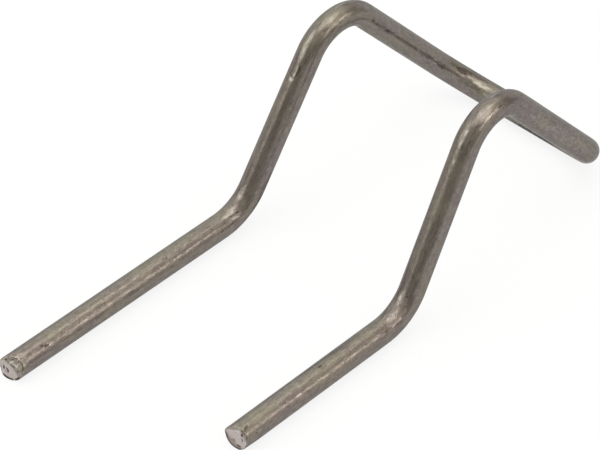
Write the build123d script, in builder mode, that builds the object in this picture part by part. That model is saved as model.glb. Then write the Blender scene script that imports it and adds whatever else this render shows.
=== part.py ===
"""Safety clip: one length of round drawn steel wire, bent into a humped U with two straight legs.

The clip lies as it comes to rest: both legs and the crossbar of the U touch the ground.
+Z is up, the legs point along -Y, and the origin is on the ground at the middle of the clip.
All sizes are in millimetres and all angles in degrees.
"""

import os
from math import hypot, radians, tan

from build123d import *

# Wire
wire_diameter = 4.0

# Legs: straight and parallel, on the ground; the one at -X is the longer one
long_leg = 47.6  # tip to the corner of the leg bend
short_leg = 34.8
leg_spacing = 33.2  # between the two leg axes
leg_bend_inside = 6.0  # inside radius of the bend from the leg to the riser

# Hump: a riser from each leg, over a bend, and down to the crossbar
hump_height = 31.4  # from the leg axis to the corner of the hump bend
hump_spacing = 30.5  # between the two sides of the U
rise_angle = 59.0  # riser above the ground
fall_angle = 48.0  # sides of the U above the ground
hump_bend_inside = 5.0

# Crossbar: the closed end of the U, on the ground
crossbar_bend_inside = 6.0

# Tips: cropped by a shear, so each face leans up and towards +X a little and its edge is broken
crop_lean = 5.0
crop_skew = 8.0
tip_edge_radius = 0.2

# Worked out from the sizes above
wire_radius = wire_diameter / 2
leg_bend_radius = leg_bend_inside + wire_radius
hump_bend_radius = hump_bend_inside + wire_radius
crossbar_bend_radius = crossbar_bend_inside + wire_radius
rise_run = hump_height / tan(radians(rise_angle))
fall_run = hump_height / tan(radians(fall_angle))
overall_length = long_leg + rise_run + fall_run + wire_radius

# Stations of the wire's axis along Y and Z
long_tip_y = -overall_length / 2
leg_corner_y = long_tip_y + long_leg
short_tip_y = leg_corner_y - short_leg
hump_y = leg_corner_y + rise_run
crossbar_y = hump_y + fall_run
ground_axis_z = wire_radius
hump_z = ground_axis_z + hump_height

# Offsets of the wire's axis from the middle plane
leg_x = leg_spacing / 2
side_x = hump_spacing / 2

axis_corners = [
    (-leg_x, long_tip_y, ground_axis_z),
    (-leg_x, leg_corner_y, ground_axis_z),
    (-side_x, hump_y, hump_z),
    (-side_x, crossbar_y, ground_axis_z),
    (side_x, crossbar_y, ground_axis_z),
    (side_x, hump_y, hump_z),
    (leg_x, leg_corner_y, ground_axis_z),
    (leg_x, short_tip_y, ground_axis_z),
]
bend_radii = [
    leg_bend_radius,
    hump_bend_radius,
    crossbar_bend_radius,
    crossbar_bend_radius,
    hump_bend_radius,
    leg_bend_radius,
]

# The way each cropped face looks, and how far its middle lies behind its foremost point
crop_facing = (tan(radians(crop_skew)), -1, tan(radians(crop_lean)))
crop_setback = wire_radius * hypot(crop_facing[0], crop_facing[2])


def crop_plane(tip_x, tip_y):
    """The plane of the cropped face of a tip whose foremost point is at tip_y."""
    middle_of_face = (tip_x, tip_y + crop_setback, ground_axis_z)
    return Plane(origin=middle_of_face, z_dir=crop_facing)


# One wire: a round section carried along straight runs and the arcs of the bends
with BuildPart() as wire_form:
    with BuildLine() as wire_axis:
        FilletPolyline(*axis_corners, radius=bend_radii)
    with BuildSketch(Plane(origin=axis_corners[0], z_dir=(0, 1, 0))):
        Circle(wire_radius)
    sweep(path=wire_axis.line)

    for tip in [(-leg_x, long_tip_y), (leg_x, short_tip_y)]:
        with BuildSketch(crop_plane(*tip)):
            Circle(wire_diameter)
        extrude(amount=wire_diameter, mode=Mode.SUBTRACT)

    tip_faces = wire_form.faces().filter_by(GeomType.PLANE)
    fillet(tip_faces.edges(), radius=tip_edge_radius)

wire_form.part.label = "wire_form"

os.makedirs("parts", exist_ok=True)
export_step(wire_form.part, "parts/wire_form.step")
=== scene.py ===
"""Safety clip: one length of drawn steel wire, cropped at both ends and bent into a humped U.

The wire is modelled straight, as it leaves the cropping shear, and is then bent along its axis.
Every point keeps its place on the straight wire in the attribute "drawn", so the die lines, the
scuffs and the painted highlights and painted shade follow the wire round its bends. After bending,
the marks of the bending tools, the shear and use are pressed into the mesh, and highlights and
shade are painted on its skin. All sizes are in metres.
"""

from math import cos, pi, radians, sin, tan

import bmesh
import bpy
import numpy as np
from mathutils import Matrix, Vector, noise

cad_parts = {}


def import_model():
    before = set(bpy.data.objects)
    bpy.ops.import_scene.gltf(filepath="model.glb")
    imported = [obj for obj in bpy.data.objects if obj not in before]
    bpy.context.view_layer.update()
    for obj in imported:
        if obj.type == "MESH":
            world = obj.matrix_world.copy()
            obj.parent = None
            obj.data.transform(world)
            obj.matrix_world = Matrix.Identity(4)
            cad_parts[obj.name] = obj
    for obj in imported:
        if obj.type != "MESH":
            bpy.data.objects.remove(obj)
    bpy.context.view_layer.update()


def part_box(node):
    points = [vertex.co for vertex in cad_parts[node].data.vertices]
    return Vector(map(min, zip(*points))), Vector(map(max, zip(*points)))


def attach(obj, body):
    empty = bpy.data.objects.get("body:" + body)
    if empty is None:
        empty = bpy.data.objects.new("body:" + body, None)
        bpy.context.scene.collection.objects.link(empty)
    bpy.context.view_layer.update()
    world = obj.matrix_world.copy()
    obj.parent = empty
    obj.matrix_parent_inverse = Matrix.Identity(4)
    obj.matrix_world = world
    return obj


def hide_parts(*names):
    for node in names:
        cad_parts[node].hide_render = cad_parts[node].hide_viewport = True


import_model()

# ---------------------------------------------------------------- sizes
MM = 0.001

wire_radius = 2.0 * MM
long_leg = 47.6 * MM
short_leg = 34.8 * MM
leg_spacing = 33.2 * MM
hump_height = 31.4 * MM
hump_spacing = 30.5 * MM
rise_angle = radians(59)
fall_angle = radians(48)
leg_bend_radius = 8.0 * MM
hump_bend_radius = 7.0 * MM
crossbar_bend_radius = 8.0 * MM
tip_edge = 0.2 * MM

# The mesh of the straight wire
wire_sides = 92
ring_pitch = 0.27 * MM
coarse_rings = 10
face_rings = 18
tip_edge_segments = 4
sharp_from = radians(50)

# The curve that bends it: about how far one arc turns, and the steps of each arc
arc_turn = radians(50)
arc_steps = 96

# Places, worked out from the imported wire's own box
low_corner, high_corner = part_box("wire_form")
ground_axis_z = low_corner.z + wire_radius
leg_x = leg_spacing / 2
side_x = hump_spacing / 2
crossbar_y = high_corner.y - wire_radius
hump_y = crossbar_y - hump_height / tan(fall_angle)
leg_corner_y = hump_y - hump_height / tan(rise_angle)
hump_z = ground_axis_z + hump_height

axis_corners = [
    Vector((-leg_x, leg_corner_y - long_leg, ground_axis_z)),
    Vector((-leg_x, leg_corner_y, ground_axis_z)),
    Vector((-side_x, hump_y, hump_z)),
    Vector((-side_x, crossbar_y, ground_axis_z)),
    Vector((side_x, crossbar_y, ground_axis_z)),
    Vector((side_x, hump_y, hump_z)),
    Vector((leg_x, leg_corner_y, ground_axis_z)),
    Vector((leg_x, leg_corner_y - short_leg, ground_axis_z)),
]
bend_radii = [
    leg_bend_radius,
    hump_bend_radius,
    crossbar_bend_radius,
    crossbar_bend_radius,
    hump_bend_radius,
    leg_bend_radius,
]


# ---------------------------------------------------------------- the wire's axis
class Bend:
    """One bend of the wire: where it starts and ends, its centre and its place along the wire."""

    def __init__(self, before, corner, after, radius):
        arriving = (corner - before).normalized()
        leaving = (after - corner).normalized()
        self.radius = radius
        self.turn = arriving.angle(leaving)
        setback = radius * tan(self.turn / 2)
        self.start = corner - arriving * setback
        self.end = corner + leaving * setback
        self.arriving = arriving
        self.axis = arriving.cross(leaving).normalized()
        self.centre = self.start + self.axis.cross(arriving) * radius
        self.from_length = 0.0
        self.to_length = 0.0

    def at(self, share):
        """The point and the direction of the wire's axis at a share of the bend."""
        turned = Matrix.Rotation(self.turn * share, 3, self.axis)
        return self.centre + turned @ (self.start - self.centre), turned @ self.arriving


bends = [
    Bend(axis_corners[i], axis_corners[i + 1], axis_corners[i + 2], bend_radii[i])
    for i in range(len(bend_radii))
]

wire_length = 0.0
here = axis_corners[0]
for bend in bends:
    wire_length += (bend.start - here).length
    bend.from_length = wire_length
    wire_length += bend.radius * bend.turn
    bend.to_length = wire_length
    here = bend.end
wire_length += (axis_corners[-1] - here).length


def bent_axis():
    """A curve along the bent wire: straight runs, and each bend as one arc or two."""
    points = [(axis_corners[0], bends[0].arriving, 0.0, 0.0)]
    for bend in bends:
        pieces = max(1, round(bend.turn / arc_turn))
        reach = 4 / 3 * tan(bend.turn / pieces / 4) * bend.radius
        for i in range(pieces + 1):
            place, direction = bend.at(i / pieces)
            back = 0.0 if i == 0 else reach
            ahead = 0.0 if i == pieces else reach
            points.append((place, direction, back, ahead))
    last_direction = (axis_corners[-1] - bends[-1].end).normalized()
    points.append((axis_corners[-1], last_direction, 0.0, 0.0))

    data = bpy.data.curves.new("wire_axis", "CURVE")
    data.dimensions = "3D"
    data.twist_mode = "MINIMUM"
    data.resolution_u = arc_steps
    data.use_deform_bounds = False
    spline = data.splines.new("BEZIER")
    spline.bezier_points.add(len(points) - 1)
    for knot, (place, direction, back, ahead) in zip(spline.bezier_points, points):
        knot.handle_left_type = "FREE"
        knot.handle_right_type = "FREE"
        knot.co = place
        knot.handle_left = place - direction * back
        knot.handle_right = place + direction * ahead
    curve = bpy.data.objects.new("wire_axis", data)
    bpy.context.collection.objects.link(curve)
    return curve


# ---------------------------------------------------------------- the straight wire
def only(piece):
    """Selects one piece and makes it the active one."""
    bpy.ops.object.select_all(action="DESELECT")
    piece.select_set(True)
    bpy.context.view_layer.objects.active = piece


def select_edges(piece, wanted):
    """In edit mode, selects the edges that the test accepts."""
    bpy.ops.mesh.select_mode(type="EDGE")
    bpy.ops.mesh.select_all(action="DESELECT")
    mesh = bmesh.from_edit_mesh(piece.data)
    for edge in mesh.edges:
        edge.select_set(wanted(edge))
    bmesh.update_edit_mesh(piece.data)


def select_faces(piece, wanted):
    """In edit mode, selects the faces that the test accepts."""
    bpy.ops.mesh.select_mode(type="FACE")
    bpy.ops.mesh.select_all(action="DESELECT")
    mesh = bmesh.from_edit_mesh(piece.data)
    for face in mesh.faces:
        face.select_set(wanted(face))
    bmesh.update_edit_mesh(piece.data)


def straight_wire():
    """The wire before bending, along +X: a drawn round bar with two closed, edge-broken ends."""
    bpy.ops.object.select_all(action="DESELECT")
    bpy.ops.mesh.primitive_circle_add(
        vertices=wire_sides, radius=wire_radius, fill_type="NGON", rotation=(0, -pi / 2, 0)
    )
    wire = bpy.context.object
    wire.name = "wire"
    bpy.ops.object.transform_apply(location=False, rotation=True, scale=False)
    bpy.ops.object.mode_set(mode="EDIT")
    bpy.ops.mesh.select_all(action="SELECT")
    bpy.ops.mesh.extrude_region_move(TRANSFORM_OT_translate={"value": (wire_length, 0, 0)})

    # the broken edge of each tip
    select_edges(wire, lambda edge: edge.calc_length() < wire_radius)
    bpy.ops.mesh.bevel(offset=tip_edge, segments=tip_edge_segments, profile=0.5, affect="EDGES")

    # rings of faces along the wire
    def runs_lengthwise(edge):
        a, b = edge.verts
        mostly_lengthwise = 0.9 * edge.calc_length()
        return abs(a.co.x - b.co.x) > mostly_lengthwise > tip_edge

    rings = round(wire_length / ring_pitch)
    for cuts in (coarse_rings - 1, rings // coarse_rings - 1):
        select_edges(wire, runs_lengthwise)
        bpy.ops.mesh.subdivide(number_cuts=cuts)

    # rings of faces across each cropped face, closed at its middle
    across = (wire_radius - tip_edge) / (face_rings + 1)
    for tip_x in (0, wire_length):

        def closes_tip(face):
            return len(face.verts) > 4 and abs(face.calc_center_median().x - tip_x) < tip_edge

        for _ in range(face_rings):
            select_faces(wire, closes_tip)
            bpy.ops.mesh.inset(thickness=across, use_even_offset=False)
        select_faces(wire, closes_tip)
        bpy.ops.mesh.poke()
    bpy.ops.mesh.select_all(action="SELECT")
    bpy.ops.mesh.normals_make_consistent(inside=False)
    bpy.ops.object.mode_set(mode="OBJECT")
    return wire


def points_of(wire):
    """The place of each point of the mesh, one row for each."""
    co = np.empty(len(wire.data.vertices) * 3)
    wire.data.vertices.foreach_get("co", co)
    return co.reshape(-1, 3)


def move_points(wire, co):
    """Puts each point of the mesh at its new place."""
    wire.data.vertices.foreach_set("co", co.ravel())
    wire.data.update()


def keep(wire, name, values):
    """Stores a value or a vector for each point of the mesh, for the material to read."""
    kind, field = ("FLOAT_VECTOR", "vector") if values.ndim == 2 else ("FLOAT", "value")
    layer = wire.data.attributes.new(name, kind, "POINT")
    layer.data.foreach_set(field, values.ravel())


def bend_wire(wire):
    """Bends the straight wire along the axis of the clip."""
    curve = bent_axis()
    only(wire)
    bpy.ops.object.modifier_add(type="CURVE")
    modifier = wire.modifiers[-1]
    modifier.object = curve
    modifier.deform_axis = "POS_X"
    bpy.ops.object.modifier_apply(modifier=modifier.name)
    bpy.data.objects.remove(curve)


# ---------------------------------------------------------------- places on the bent wire
# Into how many parts a bend is divided to find places on it
bend_stations = 24

# The noise: how fast its finer lumps weaken, how much finer they get and how many kinds there are
noise_increment = 0.8
noise_lacunarity = 2.0
noise_octaves = 2

# How sharp the edge of an oval mark is: 1 would soften it from the middle on
oval_sharpness = 1.5


def soft(share):
    """A smooth step from 0 to 1 as share goes from 0 to 1."""
    share = np.clip(share, 0, 1)
    return share * share * (3 - 2 * share)


def past(value, start, fade):
    """0 up to the start and 1 from one fade after it."""
    return soft((value - start) / fade)


def before(value, end, fade):
    """1 until one fade before the end and 0 after the end."""
    return soft((end - value) / fade)


def oval(ahead, beside, length, width, slant):
    """1 in the middle of an oval and 0 outside it, from each point's distances to its middle."""
    cosine, sine = cos(radians(slant)), sin(radians(slant))
    u = (ahead * cosine + beside * sine) / (length / 2)
    v = (beside * cosine - ahead * sine) / (width / 2)
    return soft(oval_sharpness * (1 - u * u - v * v))


def lumps(drawn, size, stretch=1.0, seed=0):
    """Noise from about -1 to 1 at each point, with lumps of about size millimetres.

    stretch draws the lumps out along the wire, and each seed gives other lumps.
    """
    step = np.array([1 / stretch, 1, 1]) / (size * MM)
    kind = (noise_increment, noise_lacunarity, noise_octaves)
    return np.array([noise.fractal(point, *kind) for point in (drawn + seed) * step])


class Places:
    """Where each point of the mesh lies on the bent wire.

    along is the length of wire from the long leg's tip. around is the angle about the axis: 0 on
    top, 90 degrees on the side that faces the inside of the U, 180 underneath. centre is the
    nearest point of the axis and reach the distance to it, and side and height are the parts of
    that distance towards 90 and 0 degrees. radial is the direction away from the axis, and forward
    the direction of the axis.
    """

    def __init__(self, along, co):
        stations, centres, forwards = [0.0], [axis_corners[0]], [bends[0].arriving]
        for bend in bends:
            for i in range(bend_stations + 1):
                centre, forward = bend.at(i / bend_stations)
                stations.append(bend.from_length + bend.radius * bend.turn * i / bend_stations)
                centres.append(centre)
                forwards.append(forward)
        stations.append(wire_length)
        centres.append(axis_corners[-1])
        forwards.append((axis_corners[-1] - bends[-1].end).normalized())

        def spread(values):
            values = np.array(values)
            return np.stack([np.interp(along, stations, values[:, i]) for i in range(3)], axis=1)

        self.along = along
        self.centre = spread(centres)
        self.forward = spread(forwards)
        self.forward /= np.linalg.norm(self.forward, axis=1)[:, None]
        out = co - self.centre
        out -= self.forward * np.sum(out * self.forward, axis=1)[:, None]
        self.reach = np.linalg.norm(out, axis=1)
        self.radial = out / np.maximum(self.reach, 1e-9)[:, None]
        inward = np.cross(self.forward, (0, 0, 1))
        inward /= np.linalg.norm(inward, axis=1)[:, None]
        top = np.cross(inward, self.forward)
        self.height = np.sum(out * top, axis=1)
        self.side = np.sum(out * inward, axis=1)
        self.around = np.arctan2(self.side, self.height)
        # how far the edge of a patch strays along the wire and around it, in mm
        self.strays = np.zeros(len(along))
        self.wanders = np.zeros(len(along))

    def away(self, around):
        """The angle about the axis from a chosen one, between -pi and pi."""
        return (self.around - radians(around) + pi) % (2 * pi) - pi

    def facing(self, around, spread):
        """1 on one side of the wire, falling softly to 0 at spread degrees from it."""
        return soft(1 - np.abs(self.away(around)) / radians(spread))

    def toward(self, around):
        """How far each point stands from the axis in one direction across the wire, in mm."""
        return self.side / MM * sin(radians(around)) + self.height / MM * cos(radians(around))

    def patch(self, along, around, length, width, slant):
        """1 in the middle of a ragged oval patch of the skin and 0 outside it."""
        ahead = self.along / MM - along + self.strays
        beside = self.away(around) * wire_radius / MM + self.wanders
        return oval(ahead, beside, length, width, slant)


# ---------------------------------------------------------------- marks of making and of use, and painted highlight and shade
# Each scuffed place: where it is along (mm) and around (degrees), its length and width (mm), how
# many strokes it has, how long a stroke is (mm), its slant (degrees) and its depth (mm).
SCUFFS = {
    "long leg tip": (6.9, 60, 9.0, 2.0, 12, 0.9, 20, 0.020),
    "long leg": (24.4, 30, 26.0, 2.6, 20, 1.2, 8, 0.010),
    "long leg bend": (45.8, 37, 4.0, 2.0, 8, 1.0, 24, 0.020),
    "left hump": (79.4, 40, 5.0, 3.0, 14, 0.9, 15, 0.014),
    "left fall": (92.4, 75, 12.0, 1.6, 8, 0.8, 30, 0.012),
    "crossbar": (130.4, 150, 16.0, 5.0, 12, 1.8, 10, 0.020),
    "right hump": (184.4, -30, 4.0, 2.6, 10, 0.9, -12, 0.014),
    "right rise": (190.4, -15, 9.0, 1.6, 10, 0.9, -4, 0.010),
    "short leg bend": (217.0, -30, 4.0, 2.2, 8, 0.9, -22, 0.020),
    "short leg": (232.4, -34, 20.0, 2.4, 16, 1.2, -8, 0.010),
    "short leg tip": (247.8, -50, 4.0, 2.2, 8, 0.8, 20, 0.020),
}

# Single marks, each with its place along and around, length, width, slant, depth and shine:
# above 0 where it is polished or carries a painted highlight, below 0 where it is stained, pitted
# or carries painted shade.
MARKS_AND_PAINTED_LIGHT = {
    # bright marks at 49 to 58 degrees are painted highlight along a lamp's reflection; the sunk
    # dark marks are pits
    "long leg tip": (
        (0.45, 58, 0.7, 1.0, 0, 0, 0.7),
        (1.7, -2, 2.6, 1.4, 0, 0, -0.3),
        (1.0, 50, 1.3, 0.5, 8, 0, 0.5),
        (0.95, 26, 0.8, 0.4, -10, 0.03, -0.9),
        (3.1, 5, 0.9, 0.35, -8, 0.02, -0.6),
        (3.2, 35, 2.0, 0.3, -3, 0.02, -0.8),
        (3.3, 52, 1.3, 0.35, 0, 0, 0.6),
        (5.85, 34, 0.7, 0.35, 0, 0.04, -1.2),
        (6.45, 43, 1.2, 0.45, 10, 0.05, -1.2),
        (7.05, 49, 0.9, 0.35, -8, 0, 0.7),
        (8.9, 49, 0.7, 0.35, 15, 0, 0.7),
        (9.65, 54, 0.5, 0.3, 0, 0.03, -0.8),
    ),
    # bright marks at 41 to 49 and at 16 to 18 degrees are painted highlight along two lamp
    # reflections; the long shallow dark lines at 38, 60 and 65 degrees are painted shade; the
    # small sunk dark marks are pits
    "long leg": (
        (11.6, 49, 1.9, 0.4, 0, 0, 0.5),
        (14.3, 48, 3.6, 0.5, 0, 0, 0.8),
        (16.5, 45, 0.5, 0.25, 40, 0.02, -0.8),
        (17.1, 41, 0.5, 0.25, 30, 0.02, -0.7),
        (15.4, 11, 0.5, 0.3, 0, 0.02, -0.8),
        (9.4, 16, 3.2, 0.3, 3, 0, 0.35),
        (18.8, 47, 2.8, 0.45, 3, 0, 0.4),
        (22.4, 47, 2.0, 0.65, 0, 0, 0.6),
        (22.0, 18, 3.0, 0.35, 2, 0, 0.5),
        (25.0, 18, 2.2, 0.4, 4, 0, 0.5),
        (22.8, 60, 2.8, 0.35, 2, 0.01, -0.7),
        (27.8, 48, 1.0, 0.35, 0, 0, 0.8),
        (29.8, 48, 2.2, 0.5, 6, 0, 0.6),
        (32.6, 48, 2.2, 0.55, 0, 0, 0.8),
        (35.0, 48, 1.8, 0.45, -5, 0, 0.8),
        (36.8, 45, 2.6, 0.45, 0, 0, 1.0),
        (38.6, 44, 0.8, 0.45, 0, 0, 0.9),
        (33.9, 38, 9.0, 0.25, 0, 0.01, -0.6),
        (29.1, 65, 1.0, 0.35, 40, 0.01, -0.6),
        (36.6, 23, 0.3, 0.25, 0, 0.02, -0.9),
    ),
    # the broad dark patch at 103 degrees is painted shade on the inner underside; the bright marks
    # at 3 to 21 and at 46 degrees are painted highlight; the slanted bright marks and the sunk
    # dark marks are scuffs and dents
    "long leg bend": (
        (51.2, 103, 10.0, 1.5, 0, 0, -0.7),
        (39.4, 46, 3.6, 0.5, 0, 0, 1.0),
        (43.6, 18, 3.6, 0.4, 2, 0, 1.0),
        (45.7, 21, 1.2, 0.4, 10, 0, 0.9),
        (45.7, 9, 2.0, 0.9, 10, 0, 0.5),
        (42.9, 38, 0.5, 0.7, 0, 0.02, -0.8),
        (45.0, 35, 1.8, 0.28, 12, 0.03, -1.1),
        (46.1, 38, 1.4, 0.28, 12, 0.03, -1.2),
        (46.5, 29, 0.8, 0.25, 10, 0.02, -0.8),
        (44.0, 41, 1.5, 0.45, 15, 0, 0.5),
        (45.2, 49, 1.7, 0.4, 20, 0, 0.9),
        (45.9, 55, 0.9, 0.35, 20, 0, 0.8),
        (43.0, 63, 4.2, 0.38, 0, 0.025, -1.0),
        (48.9, 3, 1.0, 0.55, -10, 0, 0.9),
        (50.7, 3, 1.2, 0.4, 12, 0, 0.7),
        (51.4, 8, 0.6, 0.5, 0, 0, 1.0),
        (51.35, 19, 0.4, 0.3, 0, 0.03, -0.9),
    ),
    # a real gouge, its bright flank a painted highlight and its dark flank painted shade; the
    # bright streak at 74 to 76 mm is painted highlight and the dark patches at 40 degrees painted
    # shade
    "gouge on the left rise": (
        (69.8, 5, 0.8, 0.85, 0, 0.06, 2.2),
        (71.2, 11, 2.2, 0.45, 0, 0.04, 2.4),
        (71.3, 23, 2.6, 0.65, 0, 0.04, -1.2),
        (70.6, -12, 0.7, 0.4, 0, 0.02, -0.6),
        (73.9, 7, 2.6, 0.95, 0, 0.01, 1.1),
        (76.0, 4, 2.6, 0.8, 0, 0, 0.8),
        (73.4, 40, 2.6, 0.9, 0, 0, -0.5),
        (75.8, 42, 2.6, 0.9, 0, 0, -0.35),
    ),
    # the bright marks are painted highlight of the lamps overhead; the sunk dark marks are dents
    "left hump": (
        (79.5, 22, 2.8, 1.3, 0, 0, 0.45),
        (79.8, 48, 2.6, 0.4, 0, 0, 0.9),
        (78.0, 51, 1.3, 0.35, -12, 0, 0.7),
        (78.4, 64, 0.6, 0.5, 0, 0.02, -0.7),
        (80.1, 60, 0.8, 0.4, 0, 0.02, -0.7),
        (76.9, 102, 0.6, 0.4, 0, 0.02, -0.5),
    ),
    "left fall": (
        (87.4, 88, 1.4, 0.5, 0, 0.03, -0.9),
        (88.8, 92, 0.9, 0.35, 0, 0.03, -1.1),
        (91.0, 88, 1.1, 0.4, -10, 0.03, -0.8),
        (92.4, 92, 1.8, 0.45, 0, 0.04, -1.2),
        (94.2, 84, 1.3, 0.35, -15, 0.02, -0.7),
        (94.4, 97, 1.5, 0.5, 0, 0, 0.35),
        (95.1, 112, 0.6, 0.3, 0, 0.02, -0.9),
        (95.9, 92, 1.7, 0.4, 0, 0.02, -0.6),
        (99.4, 88, 3.6, 0.35, -3, 0.01, -0.5),
        (101.9, 70, 1.3, 0.5, 0, 0, 0.5),
    ),
    # painted light all through: the bright marks at 28 to 33 degrees are painted highlight, those
    # at 55 to 91 degrees paint light over the dark reflection of the crossbar, and the dark marks
    # round them are painted shade
    "left corner": (
        (117.2, 30, 3.6, 1.0, -8, 0, -1.4),
        (120.4, 6, 8.0, 0.9, -5, 0, -0.7),
        (121.3, 33, 3.2, 0.68, 0, 0.01, 1.6),
        (123.8, 28, 4.0, 0.75, 0, 0.01, 1.0),
        (119.6, 30, 1.4, 0.5, -6, 0, 1.0),
        (104.6, 91, 6.0, 0.6, 0, 0, 1.6),
        (109.6, 91, 6.6, 0.75, -3, 0, 2.6),
        (113.2, 80, 2.6, 0.5, -8, 0, 1.4),
        (118.8, 55, 4.0, 0.5, -2, 0, 2.0),
        (109.4, 126, 6.0, 0.5, 2, 0.02, -0.5),
        (122.6, 48, 5.0, 0.4, 0, 0.01, -0.5),
        (121.9, 84, 3.2, 0.35, -4, 0.01, -0.5),
        (120.4, 64, 5.0, 0.9, 0, 0, 0.7),
        (115.9, 74, 5.0, 0.6, -10, 0, 0.6),
        (110.0, 50, 0.9, 0.4, -15, 0.01, -0.4),
    ),
    # painted shade on the crossbar's underside, in the shadow of the fall above it
    "crossbar": (
        (134.6, 110, 11.0, 1.2, 0, 0, -0.95),
    ),
    # painted light: a broad lightening of the outer side that faces down to the floor
    "right fall": (
        (163.4, -96, 30.0, 2.6, 0, 0, 0.5),
    ),
    # painted highlight of the lamps overhead, with painted shade before it at 180 to 182 mm; the
    # small sunk dark marks are dents
    "right hump": (
        (175.4, -66, 1.1, 0.35, -10, 0.02, -0.7),
        (181.8, -49, 2.2, 0.25, 22, 0.01, 0.5),
        (183.4, -75, 0.7, 0.35, 30, 0.02, -0.7),
        (184.6, -47, 2.8, 0.3, 0, 0, 1.0),
        (184.7, -55, 2.8, 0.25, 0, 0.01, -0.7),
        (184.6, -14, 2.6, 1.5, 0, 0, 0.4),
        (182.2, -46, 1.8, 0.5, 0, 0, -0.9),
        (184.7, -34, 2.8, 0.9, 0, 0, 0.8),
        (180.4, -46, 3.0, 0.9, 0, 0, -0.4),
    ),
    # the bright streak near 0 degrees is painted highlight; the sunk dark marks are pits
    "right rise": (
        (187.5, -2, 0.9, 0.6, 0, 0, 1.0),
        (189.1, 0, 1.6, 0.6, 0, 0, 0.8),
        (190.4, -3, 1.0, 0.4, 0, 0, 0.6),
        (191.5, -1, 1.0, 0.45, 0, 0, 1.7),
        (187.9, -18, 1.2, 0.4, 0, 0.02, -0.9),
        (189.3, -15, 0.8, 0.3, 0, 0.02, -0.8),
        (190.2, -24, 2.0, 0.5, 0, 0.01, -0.5),
        (197.2, -24, 2.4, 0.4, 0, 0.01, -0.6),
        (205.7, -22, 0.4, 0.3, 0, 0.03, -1.0),
        (204.0, -40, 0.9, 0.3, -10, 0.02, -0.6),
        (203.8, 14, 0.5, 0.35, 0, 0.02, -0.8),
        (199.4, 27, 0.5, 0.4, 0, 0.02, -0.7),
        (210.2, -36, 0.9, 0.3, 0, 0.02, -0.6),
    ),
    # partly tool scuffs, partly painted highlight along lamp reflections; the flat dark patches at
    # -46 and -47 degrees are painted shade
    "short leg bend": (
        (212.9, -1, 1.8, 0.4, 0, 0, 0.4),
        (214.1, 5, 1.3, 0.5, 0, 0.01, 1.1),
        (215.2, -1, 1.0, 0.4, -25, 0, 0.9),
        (213.2, -19, 0.9, 0.4, 0, 0.02, -0.9),
        (217.0, -24, 1.8, 0.4, -30, 0.01, 0.8),
        (217.9, -24, 1.7, 0.3, 25, 0.01, 0.7),
        (218.9, -10, 1.6, 0.4, -8, 0, 1.0),
        (217.7, -59, 2.2, 0.35, 4, 0.02, -0.9),
        (220.6, -46, 3.4, 0.5, 0, 0, -0.9),
        (216.4, -47, 1.8, 0.5, 0, 0, -0.8),
        (223.1, -48, 1.4, 0.4, 0, 0, 0.9),
        (225.2, -44, 0.9, 0.4, 0, 0, 0.6),
    ),
    # bright marks at -41 to -50 degrees are painted highlight along a lamp's reflection; the
    # shallow dark lines at -31 to -37 and -56 degrees are painted shade; the deep mark at 2
    # degrees is a pit
    "short leg": (
        (227.4, -45, 2.4, 0.4, 0, 0, 0.39),
        (229.8, -43, 2.0, 0.4, 0, 0, 0.33),
        (231.5, -50, 0.5, 0.35, 45, 0, 0.52),
        (233.6, -45, 2.6, 0.4, 0, 0, 0.65),
        (236.8, -41, 1.8, 0.3, 0, 0, 0.26),
        (238.8, -45, 2.0, 0.65, 0, 0, 0.72),
        (243.0, -46, 4.0, 0.35, 0, 0, 0.39),
        (228.8, -31, 4.4, 0.3, 0, 0.01, -0.5),
        (232.9, 2, 0.75, 0.6, 0, 0.07, -1.2),
        (237.4, -34, 1.8, 0.3, 0, 0.01, -0.6),
        (240.1, -37, 1.0, 0.3, 0, 0.01, -0.7),
        (231.2, -57, 1.0, 0.35, 0, 0.01, -0.6),
        (237.2, -56, 1.2, 0.35, 0, 0.01, -0.6),
    ),
    # the broad dark mark at -18 degrees is painted shade over the top of the tip; the bright marks
    # are painted highlight; the sunk dark marks are pits
    "short leg tip": (
        (250.7, -18, 1.3, 1.7, 0, 0, -0.5),
        (246.9, -47, 0.5, 0.35, 0, 0.03, -0.9),
        (248.0, -70, 0.9, 0.4, 30, 0.02, -0.9),
        (248.8, -42, 1.0, 0.35, 0, 0, 0.6),
        (249.3, -26, 1.7, 0.6, -28, 0.02, -0.9),
        (250.0, -34, 0.4, 0.35, 0, 0.03, -1.0),
        (241.3, -58, 1.5, 0.35, 0, 0.01, -0.6),
        (246.1, 4, 0.9, 0.3, 0, 0, 0.5),
    ),
}


# How deep the skin is drawn in outside and inside a bend, the depth of its waves and of its
# grain, and the least depth of it all, in mm
outside_flat = 0.055
inside_flat = 0.02
skin_waves = 0.006
skin_grain = 0.004
least_depth = 0.004

# How wide a bend's flats fade out: 1 would end them where the bend ends
flat_fade = 1.25

# How ragged the patches are along and around the wire, in mm, and how uneven their strength
ragged_along = 0.22
ragged_around = 0.13
uneven_strength = 0.45

# The skin, as a share of the wire's radius: where it starts and how far it fades in
skin_ring = (0.9, 0.08)

# The strokes of a scuffed place: how far they scatter, as a share of its length and width, how
# their length varies, their widths (mm), how they turn (degrees), how their depth varies, how many
# of them are bright, and how bright or dark they are
stroke_scatter = 0.27
stroke_lengths = (0.5, 1.5)
stroke_widths = (0.3, 0.5)
stroke_turn = 10
stroke_depths = (0.4, 1.2)
bright_strokes = 0.5
bright_shine = (0.3, 0.7)
dark_shine = (0.3, 0.8)


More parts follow.
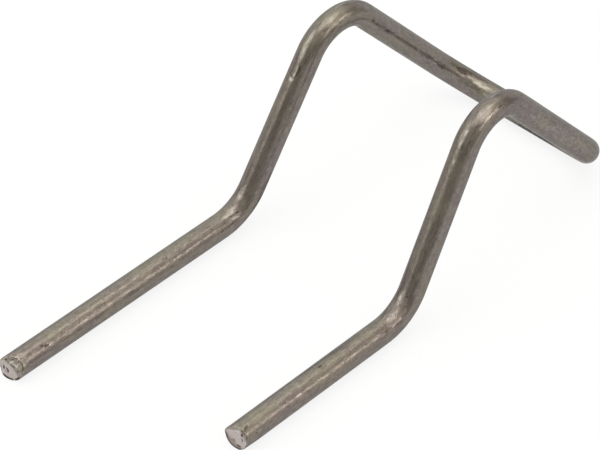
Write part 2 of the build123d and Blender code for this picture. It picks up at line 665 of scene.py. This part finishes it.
def flatten_bends(place):
    """How far the skin is drawn in at each bend, in mm: most outside, less inside."""
    depth = np.zeros(len(place.along))
    for bend in bends:
        middle = (bend.from_length + bend.to_length) / 2
        half = (bend.to_length - bend.from_length) / 2
        within = soft(flat_fade - np.abs(place.along - middle) / (half * flat_fade))
        centre_way = np.array(bend.centre) - place.centre
        centre_way /= np.linalg.norm(centre_way, axis=1)[:, None]
        outward = -np.sum(place.radial * centre_way, axis=1)
        outside = outside_flat * np.clip(outward, 0, 1) ** 2
        inside = inside_flat * np.clip(-outward, 0, 1) ** 2
        depth += within * (outside + inside)
    return depth


def scuff_marks(chance):
    """The strokes of all scuffed places, each like one entry of MARKS_AND_PAINTED_LIGHT."""
    for along, around, length, width, strokes, stroke, slant, deep in SCUFFS.values():
        for _ in range(strokes):
            ahead, beside = chance.normal(0, stroke_scatter, 2)
            stroke_length = stroke * chance.uniform(*stroke_lengths)
            stroke_width = chance.uniform(*stroke_widths)
            stroke_slant = slant + chance.normal(0, stroke_turn)
            stroke_depth = deep * chance.uniform(*stroke_depths)
            if chance.random() < bright_strokes:
                shine = chance.uniform(*bright_shine)
            else:
                shine = -chance.uniform(*dark_shine)
            middle = along + ahead * length
            way = around + np.degrees(beside * width / (wire_radius / MM))
            yield middle, way, stroke_length, stroke_width, stroke_slant, stroke_depth, shine


def wear_and_paint_wire(wire, drawn):
    """Presses the marks in. Gives how far each point is polished or painted highlight, and stained
    or painted shade.
    """
    place = Places(drawn[:, 0], points_of(wire))
    place.strays = ragged_along * lumps(drawn, size=0.9, seed=2)
    place.wanders = ragged_around * lumps(drawn, size=0.7, stretch=1.6, seed=3)
    patchy = 1 + uneven_strength * lumps(drawn, size=0.5, seed=4)
    waves = skin_waves * lumps(drawn, size=2.2, stretch=2.5)
    grain = skin_grain * lumps(drawn, size=0.8, stretch=3, seed=1)
    depth = flatten_bends(place) + (waves + grain)
    rubbed_and_highlit = np.zeros(len(drawn))
    stained_and_shaded = np.zeros(len(drawn))
    # the scuffs come from use; many single marks are painted highlights and painted shade
    marks = list(scuff_marks(np.random.default_rng(7)))
    for group in MARKS_AND_PAINTED_LIGHT.values():
        marks.extend(group)
    for along, around, length, width, slant, deep, shine in marks:
        mark = place.patch(along, around, length, width, slant)
        depth += mark * deep
        rubbed_and_highlit = np.maximum(rubbed_and_highlit, mark * shine)
        stained_and_shaded = np.maximum(stained_and_shaded, mark * -shine)
    on_skin = past(place.reach / wire_radius, *skin_ring)
    depth = np.maximum(depth, least_depth) * on_skin * MM
    move_points(wire, points_of(wire) - place.radial * depth[:, None])
    return rubbed_and_highlit * patchy * on_skin, stained_and_shaded * patchy * on_skin


# The two sheared tips. Every way is an angle about the axis, as in Places, every spread is in
# degrees and every size in mm. A face leans back towards one way by a slope, and the skin behind
# it is sunk on one way, over a spread, to a depth. Where the metal is drawn over, a part of the
# face slopes back further: its way, how far from the axis it starts, its slope there and the most
# it falls back. The torn part has its way and where it starts. A burr has its way, its spread, and
# how far it stands ahead and outward. A darkened rim has its way, spread and strength. Marks are
# as above, but placed by side and height on the face; the brightest of them are painted
# highlights.
TIPS = {
    "long leg": {
        "leans": (61, 0.206),
        "sunk": (20, 75, 0.22),
        "drawn_over": ((15, 0.70, 1.30, 0.45), (47, 0.33, 0.12, 0.50)),
        "torn": (-112, 1.75),
        "burrs": ((-76, 26, 0.09, 0.0), (-168, 55, 0.10, 0.0), (-145, 34, 0.0, 0.14)),
        "darkened_rims": ((-171, 46, 1.25), (132, 26, 1.15)),
        "marks": (
            (-1.20, -0.24, 1.05, 0.40, 96, 0.08, -1.1),
            (-0.52, -0.34, 0.85, 0.34, 128, 0.08, -1.3),
            (-0.42, -0.70, 0.60, 0.38, 84, 0.08, -1.6),
            (-0.79, -0.80, 0.30, 0.28, 0, 0.03, -1.0),
            (0.38, 0.61, 1.15, 0.17, -18, 0.06, -1.2),
            (0.75, -1.10, 1.00, 0.12, -46, 0.0, 1.6),
            (0.45, -1.30, 0.90, 0.12, -46, 0.0, 1.6),
            # painted highlights: the lit facet behind the top of the rim
            (0.00, 1.02, 0.75, 0.38, 43, 0.0, 4.4),
            (0.92, 0.76, 0.60, 0.50, 60, 0.0, 4.4),
            (0.50, 0.86, 0.90, 0.34, -16, 0.0, 2.6),
            (1.10, 1.10, 0.90, 0.50, 40, 0.0, 1.4),
            (0.80, 1.28, 0.35, 0.30, 0, 0.03, -0.8),
            (-0.05, 1.52, 0.45, 0.42, 0, 0.04, -1.1),
            (1.30, 0.10, 0.40, 0.36, 0, 0.04, -1.0),
            (-0.95, 1.20, 0.50, 0.34, 0, 0.04, -1.0),
            (-1.50, 1.04, 0.34, 0.30, 0, 0.03, -0.9),
            (-0.45, 0.84, 0.36, 0.22, -40, 0.03, -0.9),
        ),
    },
    "short leg": {
        "leans": (-55, 0.147),
        "sunk": (-120, 60, 0.08),
        "drawn_over": ((23, 1.30, 0.35, 0.50), (-51, 1.35, 0.15, 0.50)),
        "torn": (151, 0.50),
        "burrs": ((72, 34, 0.16, 0.05), (-160, 16, 0.05, 0.0)),
        "darkened_rims": ((145, 104, 1.0),),
        "marks": (
            (0.37, -0.52, 0.80, 0.34, 16, 0.06, -0.8),
            (-0.45, -1.29, 1.00, 0.52, 0, 0.07, -0.75),
            (0.95, -0.22, 0.60, 0.24, 30, 0.03, -0.5),
            (-0.92, 1.05, 0.70, 0.32, 96, 0.12, -1.5),
            (-1.04, 0.28, 0.95, 0.18, 90, 0.05, -1.5),
            (-1.50, 0.50, 0.60, 0.28, 90, 0.04, -0.9),
            # painted highlight: the lit facet of the drawn-over slope
            (-0.25, 1.42, 0.66, 0.46, 0, 0.0, 4.4),
            (-1.28, 0.30, 0.60, 0.16, 90, 0.0, 1.6),
        ),
    },
}


# How far behind a tip's face each thing reaches, in mm, and over what length it fades out. The
# first three fade out all the way.
lean_reach = 3.0
uneven_reach = 0.5
burr_reach = 0.8
tear_reach = (0.12, 0.08)
mark_reach = (0.3, 0.2)
dark_rim_reach = (0.5, 0.25)
face_reach = (0.34, 0.2)
smear_reach = (1.1, 0.8)

# Rings of a tip's face, as shares of the wire's radius: where each starts and how far it fades in
burr_ring = (0.62, 0.38)
dark_rim_ring = (0.76, 0.08)
sunk_ring = (0.5, 0.5)
face_edge = (0.955, 0.05)

# How far a face lies behind the end of the wire, how much deeper it is torn, and how far its edge
# stands ahead in a burr, in mm
face_depth = 0.09
torn_depth = 0.05
burr_height = 0.05

# How rough a face is where it is torn, all over, and at the rim where it is drawn over, in mm
torn_ripples = 0.035
face_ripples = 0.012
rim_ripples = 0.10

# How ragged the outlines on a face are, in mm: the torn part, the part drawn over, the marks and
# the metal smeared past the rim
torn_ragged = 0.45
over_ragged = 0.08
mark_ragged = 0.10
smear_ragged = 0.5

# How softly the torn part and the part drawn over set in, in mm, and how clear the smear is
torn_fade = 0.5
over_fade = 0.04
smear_strength = 0.3


def drawn_over(tip, place, uneven):
    """How far a tip's face falls back, in mm, where its metal is drawn over."""
    falls = np.zeros(len(place.along))
    for way, start, slope, most in tip["drawn_over"]:
        over = np.maximum(place.toward(way) - start + over_ragged * uneven, 0)
        falls += most * (1 - np.exp(-over * slope / most))
    return falls


def crop_tips(wire, drawn, rubbed_and_highlit, stained_and_shaded):
    """Shapes both tips as the shear leaves them: drawn over on one side, torn and burred on the
    other. Keeps where the metal is freshly cropped or torn, polished or painted with highlight,
    and stained, darkened or painted with shade."""
    place = Places(drawn[:, 0], points_of(wire))
    co = points_of(wire)
    reach = place.reach / wire_radius
    side, height = place.side / MM, place.height / MM
    in_burr_ring = past(reach, *burr_ring)
    tear_noise = torn_ragged * lumps(drawn, size=1.0)
    torn_noise = torn_ripples * lumps(drawn, size=0.4, seed=5)
    face_noise = face_ripples * lumps(drawn, size=0.8, seed=9)
    uneven = lumps(drawn, size=0.8, seed=8)
    side_stray = mark_ragged * lumps(drawn, size=0.5, seed=6)
    height_stray = mark_ragged * lumps(drawn, size=0.5, seed=7)
    cropped = np.zeros(len(drawn))
    torn = np.zeros(len(drawn))
    for tip, from_tip, way in (
        (TIPS["long leg"], drawn[:, 0] / MM, -1),
        (TIPS["short leg"], (wire_length - drawn[:, 0]) / MM, 1),
    ):
        from_tip = np.maximum(from_tip, 0)
        near = soft(1 - from_tip / lean_reach)
        at_face = soft(1 - from_tip / uneven_reach)

        # the form of the face: its lean, the parts drawn over and torn, and its ripples
        falls = drawn_over(tip, place, uneven)
        over_face = soft(falls / over_fade)
        tear_way, tear_start = tip["torn"]
        tear = soft((place.toward(tear_way) - tear_start + tear_noise) / torn_fade)
        tear *= before(from_tip, *tear_reach)
        ripples = torn_noise * tear + face_noise
        ripples += uneven * rim_ripples * in_burr_ring * over_face
        lean_way, lean = tip["leans"]
        back = near * (lean * (wire_radius / MM + place.toward(lean_way)) + falls)

        # the marks on the face and round its rim, among them painted highlights on lit facets
        dents = np.zeros(len(drawn))
        for mark_side, mark_height, length, width, slant, deep, shine in tip["marks"]:
            beside = side - mark_side + side_stray
            above = height - mark_height + height_stray
            mark = oval(beside, above, length, width, slant) * before(from_tip, *mark_reach)
            dents = np.maximum(dents, mark * deep)
            rubbed_and_highlit = np.maximum(rubbed_and_highlit, mark * shine)
            stained_and_shaded = np.maximum(stained_and_shaded, mark * -shine)
        # the rim of each face is darkened over its ways, in the same mask as stains and painted
        # shade
        at_rim = past(reach, *dark_rim_ring) * before(from_tip, *dark_rim_reach)
        for rim_way, rim_spread, rim_darkness in tip["darkened_rims"]:
            here = np.minimum(2 * place.facing(rim_way, rim_spread), 1)
            stained_and_shaded = np.maximum(stained_and_shaded, rim_darkness * at_rim * here)
        back += at_face * (face_depth + torn_depth * tear + ripples) + dents

        # the sunk skin and the burrs
        sunk_way, sunk_spread, sunk_depth = tip["sunk"]
        grow = -sunk_depth * place.facing(sunk_way, sunk_spread) * near
        for burr_way, spread, ahead, outward in tip["burrs"]:
            burr = place.facing(burr_way, spread)
            back -= at_face * (burr_height + ahead) * burr * in_burr_ring**2
            grow += outward * burr * soft(1 - from_tip / burr_reach)
        co -= place.forward * (way * back)[:, None] * MM
        co += place.radial * (grow * past(reach, *sunk_ring))[:, None] * MM

        # the bare metal of the face, and what is smeared past its rim
        flat = before(reach, *face_edge) * before(from_tip, *face_reach)
        smear_end, smear_fade = smear_reach
        smear = before(from_tip, smear_end + smear_ragged * uneven, smear_fade)
        smear = smear_strength * over_face * smear
        cropped = np.maximum(cropped, np.maximum(flat, smear))
        torn = np.maximum(torn, np.maximum(tear, np.maximum(flat * over_face, smear)))
    move_points(wire, co)
    keep(wire, "cropped", cropped)
    keep(wire, "torn", torn)
    keep(wire, "rubbed_and_highlit", rubbed_and_highlit)
    keep(wire, "stained_and_shaded", stained_and_shaded)


wire = straight_wire()
drawn = points_of(wire)
keep(wire, "drawn", drawn)
bend_wire(wire)
rubbed_and_highlit, stained_and_shaded = wear_and_paint_wire(wire, drawn)
crop_tips(wire, drawn, rubbed_and_highlit, stained_and_shaded)
only(wire)
bpy.ops.object.shade_smooth_by_angle(angle=sharp_from)


# ---------------------------------------------------------------- material
class Shading:
    """Adds nodes to a shader tree. Values and sockets can be mixed freely as inputs."""

    def __init__(self, tree):
        self.tree = tree

    def put(self, socket, value):
        """Gives an input its value, or links it to another node's output."""
        if isinstance(value, bpy.types.NodeSocket):
            self.tree.links.new(value, socket)
        else:
            socket.default_value = value

    def math(self, operation, *values, clamp=False):
        """What one operation makes of its values."""
        node = self.tree.nodes.new("ShaderNodeMath")
        node.operation = operation
        node.use_clamp = clamp
        for socket, value in zip(node.inputs, values):
            self.put(socket, value)
        return node.outputs[0]

    def kept(self, name, output="Fac"):
        """What the mesh keeps at its points under a name."""
        node = self.tree.nodes.new("ShaderNodeAttribute")
        node.attribute_name = name
        return node.outputs[output]

    def scaled(self, vector, share):
        """A vector or a colour times a number."""
        node = self.tree.nodes.new("ShaderNodeVectorMath")
        node.operation = "SCALE"
        self.put(node.inputs[0], vector)
        self.put(node.inputs["Scale"], share)
        return node.outputs[0]

    def noise(self, place, size, stretch=1.0, detail=2.0, roughness=0.5, offset=0.0):
        """Noise about zero, with lumps of a size in millimetres, drawn out along the wire."""
        spot = self.tree.nodes.new("ShaderNodeVectorMath")
        spot.operation = "MULTIPLY_ADD"
        self.put(spot.inputs[0], place)
        self.put(spot.inputs[1], (1 / (size * stretch), 1 / size, 1 / size))
        self.put(spot.inputs[2], (offset, offset, offset))
        node = self.tree.nodes.new("ShaderNodeTexNoise")
        node.inputs["Scale"].default_value = 1
        node.inputs["Detail"].default_value = detail
        node.inputs["Roughness"].default_value = roughness
        self.put(node.inputs["Vector"], spot.outputs[0])
        return self.math("SUBTRACT", node.outputs["Fac"], 0.5)

    def total(self, *terms):
        """The sum of pairs of a socket and the weight it has."""
        whole = None
        for socket, weight in terms:
            part = self.math("MULTIPLY", socket, weight)
            whole = part if whole is None else self.math("ADD", whole, part)
        return whole

    def step(self, value, low, high):
        """0 below low and 1 above high, with a soft change between."""
        node = self.tree.nodes.new("ShaderNodeMapRange")
        node.interpolation_type = "SMOOTHSTEP"
        self.put(node.inputs["Value"], value)
        node.inputs["From Min"].default_value = low
        node.inputs["From Max"].default_value = high
        return node.outputs[0]

    def blend(self, share, first, second, kind="RGBA"):
        """The first colour or value where the share is 0, and the second where it is 1."""
        node = self.tree.nodes.new("ShaderNodeMix")
        node.data_type = kind
        self.put(node.inputs["Factor"], share)
        self.put(node.inputs["A"], first)
        self.put(node.inputs["B"], second)
        return node.outputs["Result"]


# The colours of the skin, of polished places and painted highlights, of stains and painted shade,
# and of the cropped and torn faces
OLIVE = (0.210, 0.1875, 0.160, 1)
MAUVE = (0.211, 0.1805, 0.169, 1)
BRIGHT_AND_HIGHLIGHT = (0.61, 0.57, 0.54, 1)
STAIN_AND_SHADE = (0.090, 0.074, 0.066, 1)
CROPPED = (0.50, 0.445, 0.425, 1)
TORN = (0.325, 0.285, 0.258, 1)

# The tint that the steel takes where it is seen edge on
EDGE_TINT = (0.65, 0.65, 0.65, 1)

# How strongly polished places with painted highlights, and stains with painted shade, show, and
# between what amounts they set in
rubbed_and_highlit_strength = 0.24
stained_and_shaded_strength = 0.9
wear_and_light_step = (0.15, 0.85)
cropped_step = (0.35, 0.65)

# Between what amounts of noise the skin turns from mauve to olive
olive_step = (-0.12, 0.12)

# The roughness of the skin and of the cropped faces
skin_roughness = 0.30
face_roughness = 0.42


def drawn_steel():
    """Drawn steel with die lines, streaks and grain, scuffed skin with painted highlight and
    shade, and bare faces.
    """
    steel = bpy.data.materials.new("drawn_steel")
    steel.use_nodes = True
    tree = steel.node_tree
    sh = Shading(tree)
    shader = tree.nodes["Principled BSDF"]
    shader.inputs["Metallic"].default_value = 1
    shader.inputs["Specular Tint"].default_value = EDGE_TINT

    # textures, by place on the straight wire in mm
    place = sh.scaled(sh.kept("drawn", "Vector"), 1 / MM)
    die_lines = sh.noise(place, 0.22, stretch=60, detail=2)
    streaks = sh.noise(place, 0.34, stretch=9, detail=3, offset=7)
    grain = sh.noise(place, 0.42, stretch=2.2, detail=3, roughness=0.6, offset=17)
    specks = sh.noise(place, 0.17, stretch=1.6, detail=1, offset=29)
    clouds = sh.noise(place, 2.6, stretch=1.8, detail=2, offset=43)

    # where the skin is polished or painted highlight, stained or painted shade, or cropped, with
    # edges broken up by the grain
    ragged = sh.total((grain, 1.1), (specks, 0.6))

    # the share of a kept amount that shows: polish with painted highlight, or stain with painted
    # shade
    def wear_and_light_share(name, strength):
        kept_amount = sh.kept(name)
        share = sh.step(sh.math("ADD", kept_amount, ragged), *wear_and_light_step)
        return sh.math("MULTIPLY", share, sh.math("MULTIPLY", kept_amount, strength), clamp=True)

    rubbed_and_highlit = wear_and_light_share("rubbed_and_highlit", rubbed_and_highlit_strength)
    stained_and_shaded = wear_and_light_share("stained_and_shaded", stained_and_shaded_strength)
    cropped = sh.step(sh.math("ADD", sh.kept("cropped"), ragged), *cropped_step)
    torn = sh.kept("torn")

    # colour
    tone = sh.total((die_lines, 0.3), (streaks, 0.4), (grain, 0.9), (specks, 0.45), (clouds, 0.2))
    tone = sh.math("ADD", tone, 1.0)
    hue = sh.step(sh.total((clouds, 1.0), (streaks, 0.5), (grain, 0.4)), *olive_step)
    skin = sh.scaled(sh.blend(hue, MAUVE, OLIVE), tone)
    face_tone = sh.math("ADD", sh.total((grain, 0.7), (specks, 0.5)), 1.0)
    face = sh.scaled(sh.blend(torn, CROPPED, TORN), face_tone)
    colour = sh.blend(cropped, skin, face)
    # painted highlight with polished metal, then painted shade with stains
    colour = sh.blend(rubbed_and_highlit, colour, BRIGHT_AND_HIGHLIGHT)
    colour = sh.blend(stained_and_shaded, colour, STAIN_AND_SHADE)
    sh.put(shader.inputs["Base Color"], colour)

    # roughness
    skin_finish = sh.total(
        (streaks, 0.2), (grain, -0.2), (clouds, 0.25), (rubbed_and_highlit, -0.09), (stained_and_shaded, 0.12)
    )
    skin_finish = sh.math("ADD", skin_finish, skin_roughness)
    face_finish = sh.math("ADD", sh.total((torn, 0.12), (grain, 0.3)), face_roughness)
    sh.put(shader.inputs["Roughness"], sh.blend(cropped, skin_finish, face_finish, kind="FLOAT"))

    # relief, in mm
    relief = sh.total(
        (die_lines, 0.005), (streaks, 0.010), (grain, 0.028), (specks, 0.007), (clouds, 0.03)
    )
    bump = tree.nodes.new("ShaderNodeBump")
    bump.inputs["Strength"].default_value = 1
    bump.inputs["Distance"].default_value = MM
    sh.put(bump.inputs["Height"], relief)
    sh.put(shader.inputs["Normal"], bump.outputs[0])
    return steel


wire.data.materials.append(drawn_steel())
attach(wire, "root")
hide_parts("wire_form")


# ---------------------------------------------------------------- floor, lights and camera
floor_size = 6
floor_white = (0.83, 0.84, 0.88, 1)
floor_glow = 0.84

sky_colour = (1, 0.96, 0.83, 1)
sky_strength = 0.45

# Each softbox: its azimuth from +X towards +Y and its elevation (degrees), its distance, width and
# height (m), its radiance and its colour
SOFTBOXES = {
    "overhead": (39, 87, 1.2, 3.6, 2.3, 0.34, (1, 0.97, 0.86)),
    "top": (128, 87, 1.15, 1.03, 0.99, 1.58, (0.98, 1, 0.93)),
    "left": (-128, 33, 1.2, 1.05, 0.88, 1.5, (0.97, 1, 0.95)),
    "right_strip": (20, 29.3, 1.2, 1.03, 0.17, 2.9, (0.97, 0.98, 1)),
    "small_back": (91, 61, 1.2, 0.18, 0.16, 0.8, (1, 1, 0.95)),
    "right_high": (24, 33, 1.2, 0.80, 1.70, 0.63, (1, 0.90, 0.79)),
    "back": (108, 8, 1.2, 1.65, 0.92, 0.60, (0.86, 0.92, 1)),
    "back_left": (164, 24, 1.2, 1.32, 1.22, 0.75, (0.90, 1, 0.99)),
    "high_back": (118, 49, 1.2, 0.34, 0.32, 1.0, (0.95, 1, 0.88)),
}

camera_lens = 184.15
camera_sensor = 36
camera_azimuth = radians(44.19)
camera_elevation = radians(41.89)
camera_roll = radians(-0.26)
camera_aim = Vector((-0.44, -4.60, 11.81)) * MM
camera_distance = 449.3 * MM
camera_nearest = 10 * MM


def floor():
    """A plain white sweep that takes the soft shadow of the clip and glows evenly where seen."""
    bpy.ops.object.select_all(action="DESELECT")
    bpy.ops.mesh.primitive_plane_add(size=floor_size, location=(0, 0, low_corner.z))
    ground = bpy.context.object
    ground.name = "floor"
    white = bpy.data.materials.new("white_sweep")
    white.use_nodes = True
    tree = white.node_tree
    tree.nodes.remove(tree.nodes["Principled BSDF"])
    sh = Shading(tree)
    matt = tree.nodes.new("ShaderNodeBsdfDiffuse")
    matt.inputs["Color"].default_value = floor_white
    glow = tree.nodes.new("ShaderNodeEmission")
    glow.inputs["Strength"].default_value = 1
    ray = tree.nodes.new("ShaderNodeLightPath").outputs
    seen = sh.math("MAXIMUM", ray["Is Camera Ray"], ray["Is Glossy Ray"])
    seen = sh.math("MAXIMUM", seen, ray["Is Transmission Ray"])
    mix = tree.nodes.new("ShaderNodeMixShader")
    sh.put(mix.inputs[0], sh.math("MULTIPLY", seen, floor_glow))
    sh.put(mix.inputs[1], matt.outputs[0])
    sh.put(mix.inputs[2], glow.outputs[0])
    sh.put(tree.nodes["Material Output"].inputs["Surface"], mix.outputs[0])
    ground.data.materials.append(white)


def softbox(name, azimuth, elevation, distance, width, height, radiance, colour):
    """A square lamp that faces the clip and isn't seen itself."""
    azimuth, elevation = radians(azimuth), radians(elevation)
    data = bpy.data.lights.new(name, "AREA")
    data.shape = "RECTANGLE"
    data.size = width
    data.size_y = height
    data.color = colour
    data.energy = radiance * pi * width * height
    lamp = bpy.data.objects.new(name, data)
    bpy.context.collection.objects.link(lamp)
    way = Vector((cos(elevation) * cos(azimuth), cos(elevation) * sin(azimuth), sin(elevation)))
    lamp.location = way * distance
    lamp.rotation_euler = way.to_track_quat("Z", "Y").to_euler()
    lamp.visible_camera = False


def light():
    """Soft light from all round, with the camera's own side left darker, as steel needs."""
    world = bpy.data.worlds.new("studio")
    bpy.context.scene.world = world
    world.use_nodes = True
    sky = world.node_tree.nodes["Background"]
    sky.inputs["Color"].default_value = sky_colour
    sky.inputs["Strength"].default_value = sky_strength
    for name, box in SOFTBOXES.items():
        softbox(name, *box)


def camera():
    """A long lens, above and to the right of the legs' open end."""
    data = bpy.data.cameras.new("camera")
    data.sensor_width = camera_sensor
    data.lens = camera_lens
    data.clip_start = camera_nearest
    eye = bpy.data.objects.new("camera", data)
    bpy.context.collection.objects.link(eye)
    round_z = Matrix.Rotation(camera_azimuth, 3, "Z")
    down = Matrix.Rotation(pi / 2 - camera_elevation, 3, "X")
    turn = round_z @ down @ Matrix.Rotation(camera_roll, 3, "Z")
    eye.rotation_euler = turn.to_euler()
    eye.location = camera_aim + turn @ Vector((0, 0, camera_distance))
    bpy.context.scene.camera = eye


floor()
light()
camera()
bpy.context.scene.view_settings.view_transform = "Standard"
